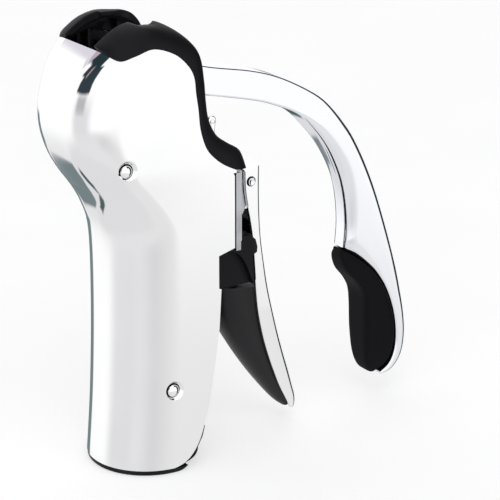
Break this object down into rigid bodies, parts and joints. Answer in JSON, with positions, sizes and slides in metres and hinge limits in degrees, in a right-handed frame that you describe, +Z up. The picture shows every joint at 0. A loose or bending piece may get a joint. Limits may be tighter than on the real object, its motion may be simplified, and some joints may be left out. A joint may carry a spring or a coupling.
{
  "type": "lever corkscrew",
  "caption": "Lever corkscrew in a chrome shell: a long geared lever raises and lowers a worm, and a short lever behind clamps the bottle's neck.",
  "frame": {"origin": "centre of the footprint, on the surface that the opener stands on", "axes": "+Z up along the worm's axis, +X to the back where both levers hang, +Y to the right side"},
  "size_m": [0.1538, 0.0472, 0.1698],
  "materials": {
    "shell_chrome": "polished chrome plate",
    "lever_chrome": "polished casting with a bright chrome plate",
    "black_plastic": "satin moulded black plastic",
    "black_casting": "satin black coated zinc casting",
    "black_rubber": "soft matt black rubber",
    "steel": "turned and pressed steel",
    "brass": "turned brass"
  },
  "bodies": {
    "housing": {"chrome_shell": "shell_chrome", "left_cheek": "black_plastic", "right_cheek": "black_plastic", "neck_liner": "black_casting", "neck_pad": "black_rubber", "nut_bridge": "black_casting", "worm_nut": "brass", "lever_axle": "steel", "rear_bracket": "shell_chrome", "clamp_pin": "steel", "clamp_spring": "steel", "upper_screw_left": "shell_chrome", "upper_screw_right": "shell_chrome", "lower_screw_left": "shell_chrome", "lower_screw_right": "shell_chrome", "left_pinion_axle": "steel", "right_pinion_axle": "steel", "left_rest_tab": "shell_chrome", "right_rest_tab": "shell_chrome"},
    "main_lever": {"lever_arm": "lever_chrome", "lever_grip": "black_rubber", "left_sector_gear": "steel", "right_sector_gear": "steel", "left_lever_bush": "brass", "right_lever_bush": "brass"},
    "left_pinion": {"left_pinion": "steel"},
    "right_pinion": {"right_pinion": "steel"},
    "carriage": {"carriage_block": "black_casting", "worm_bearing": "brass", "left_rack": "steel", "right_rack": "steel"},
    "worm": {"worm": "steel", "worm_retainer": "brass"},
    "clamp": {"clamp_lever": "shell_chrome", "clamp_grip": "black_rubber", "clamp_jaw": "black_rubber", "jaw_pad": "black_rubber"}
  },
  "joints": [
    {"name": "main_lever_pivot", "type": "hinge", "parent": "housing", "child": "main_lever", "pos_m": [-0.0487, 0, 0.1476], "axis": [0, -1, 0], "range_deg": [0, 128]},
    {"name": "left_pinion_spin", "type": "hinge", "parent": "housing", "child": "left_pinion", "pos_m": [-0.0344, 0, 0.12565], "axis": [0, 1, 0], "range_deg": [0, 246]},
    {"name": "right_pinion_spin", "type": "hinge", "parent": "housing", "child": "right_pinion", "pos_m": [-0.0344, 0, 0.12565], "axis": [0, 1, 0], "range_deg": [0, 246]},
    {"name": "carriage_slide", "type": "slide", "parent": "housing", "child": "carriage", "axis": [0, 0, 1], "range_m": [0, 0.0386]},
    {"name": "worm_spin", "type": "hinge", "parent": "carriage", "child": "worm", "pos_m": [-0.0402, 0, 0.082], "axis": [0, 0, 1], "range_deg": [0, 1540]},
    {"name": "clamp_pivot", "type": "hinge", "parent": "housing", "child": "clamp", "pos_m": [-0.002, 0, 0.1038], "axis": [0, 1, 0], "range_deg": [0, 10], "stiffness_Nm_per_rad": 0.1, "springref_deg": -20.05}
  ],
  "couplings": [
    {"joint": "left_pinion_spin", "follows": "main_lever_pivot", "ratio": 1.9111},
    {"joint": "right_pinion_spin", "follows": "main_lever_pivot", "ratio": 1.9111},
    {"joint": "carriage_slide", "follows": "main_lever_pivot", "m_per_rad": 0.0172},
    {"joint": "worm_spin", "follows": "main_lever_pivot", "ratio": 12.008}
  ]
}
